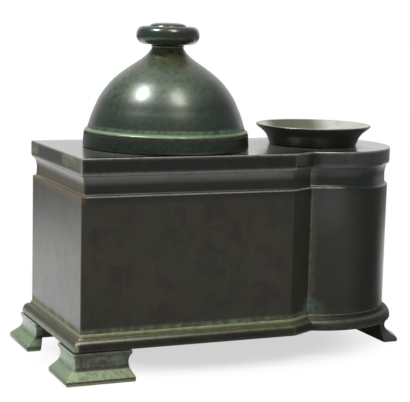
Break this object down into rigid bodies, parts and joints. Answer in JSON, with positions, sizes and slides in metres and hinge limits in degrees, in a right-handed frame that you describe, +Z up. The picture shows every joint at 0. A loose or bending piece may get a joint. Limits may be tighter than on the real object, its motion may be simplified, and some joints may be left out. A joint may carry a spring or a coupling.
{
  "type": "desk inkstand",
  "caption": "Bronze desk inkstand: a footed case with a round end, a domed lid that lifts off a glass ink well, and a flared pen cup.",
  "frame": {"origin": "centre of the object's bounding box, at the underside of the feet", "axes": "+X along the case from the square end to the round end, +Y to the back, +Z up"},
  "size_m": [0.1616, 0.0822, 0.1358],
  "materials": {
    "bronze_case": "dark brown patina, semi-gloss",
    "bronze_slab": "near-black patina with green verdigris, semi-gloss",
    "bronze_moulding": "olive-brown patina, rubbed edges",
    "bronze_feet": "green and olive patina, satin",
    "bronze_lid": "green-brown speckled patina, semi-gloss",
    "bronze_knob": "brown-black patina, glossy",
    "bronze_cup": "near-black outside, olive inside",
    "brass_hidden": "dull brass",
    "steel_fixings": "aged",
    "ink_glass": "clear pressed glass",
    "leather": "matt",
    "cork": "matt"
  },
  "bodies": {
    "stand": {"body_wall": "bronze_case", "top_plate": "bronze_slab", "base_moulding": "bronze_moulding", "base_plate": "bronze_case", "foot_front_left": "bronze_feet", "foot_back_left": "bronze_feet", "foot_round_end": "bronze_feet", "foot_screw_front_left_1": "steel_fixings", "foot_screw_front_left_2": "steel_fixings", "foot_screw_back_left_1": "steel_fixings", "foot_screw_back_left_2": "steel_fixings", "foot_screw_round_end_1": "steel_fixings", "foot_screw_round_end_2": "steel_fixings", "base_plate_screw_front": "steel_fixings", "base_plate_screw_back": "steel_fixings", "top_plate_screw_front_left": "steel_fixings", "top_plate_screw_back_left": "steel_fixings", "top_plate_screw_front_right": "steel_fixings", "top_plate_screw_back_right": "steel_fixings", "lid_locating_ring": "brass_hidden", "ink_seat_washer": "leather", "pen_cup_mouth": "bronze_cup", "pen_cup_ring_nut": "brass_hidden", "pen_well_tube": "brass_hidden", "pen_well_cork": "cork"},
    "ink_glass": {"ink_glass": "ink_glass"},
    "lid": {"lid_dome": "bronze_lid", "lid_knob": "bronze_knob", "lid_knob_washer": "steel_fixings", "lid_knob_nut": "steel_fixings"}
  },
  "joints": [
    {"name": "ink_glass_lift", "type": "slide", "parent": "stand", "child": "ink_glass", "axis": [0, 0, 1], "range_m": [0, 0.06]},
    {"name": "lid_lift", "type": "slide", "parent": "ink_glass", "child": "lid", "axis": [0, 0, 1], "range_m": [0, 0.06]}
  ]
}
